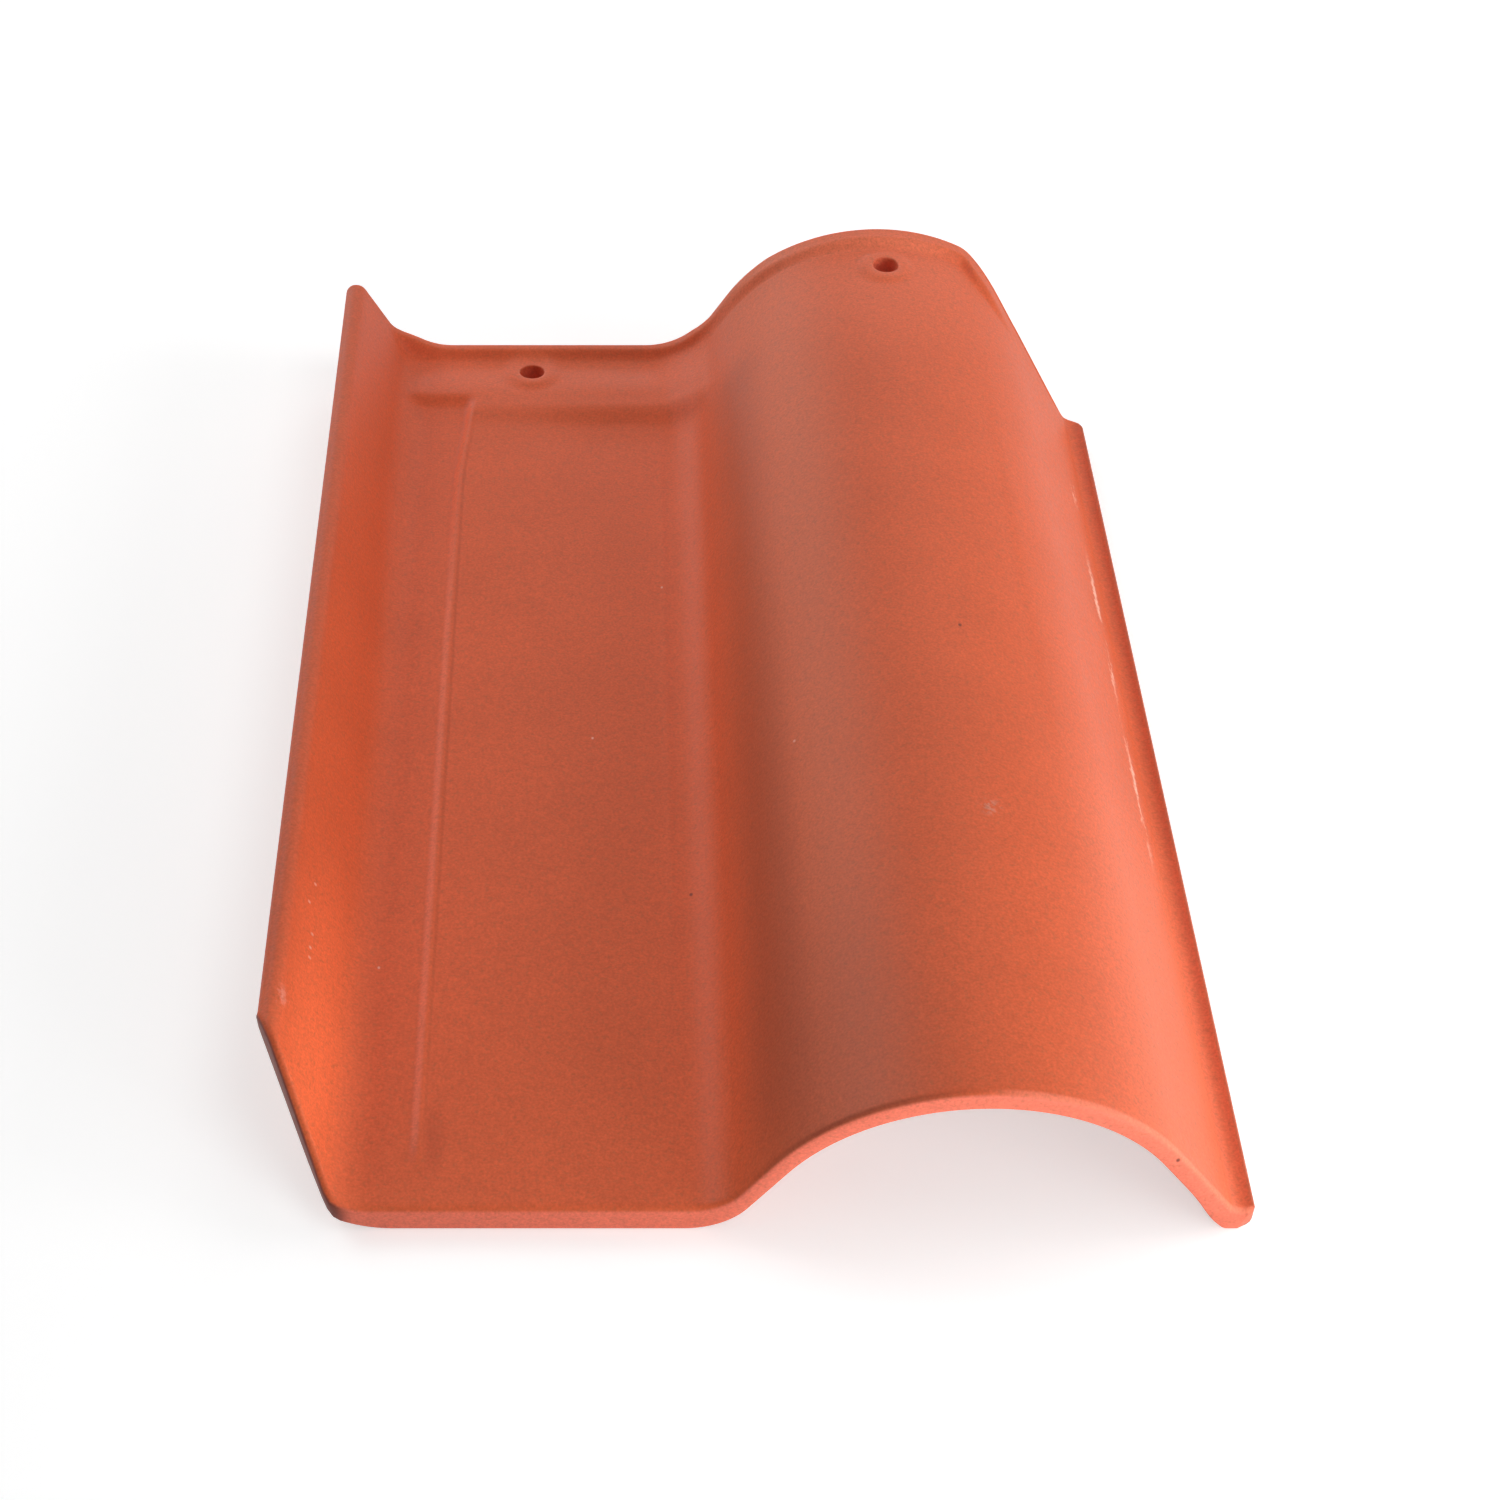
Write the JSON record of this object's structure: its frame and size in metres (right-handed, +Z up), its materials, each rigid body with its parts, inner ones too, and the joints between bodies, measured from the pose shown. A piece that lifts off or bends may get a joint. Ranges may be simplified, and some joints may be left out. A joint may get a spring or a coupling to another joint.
{
  "type": "roof tile",
  "caption": "One-piece clay S roof tile: a flat pan with a turned-up lip on one side and a round barrel on the other, with nail holes and a raised rim at the head and clipped corners.",
  "frame": {"origin": "centre of the tile's plan, on the floor that it lies on", "axes": "+X across the tile from the lip to the barrel, +Y along the tile from the butt to the head, +Z up"},
  "size_m": [0.2854, 0.41, 0.067],
  "materials": {
    "fired_clay": "satin unglazed terracotta"
  },
  "bodies": {
    "root": {"roof_tile": "fired_clay"}
  },
  "joints": []
}
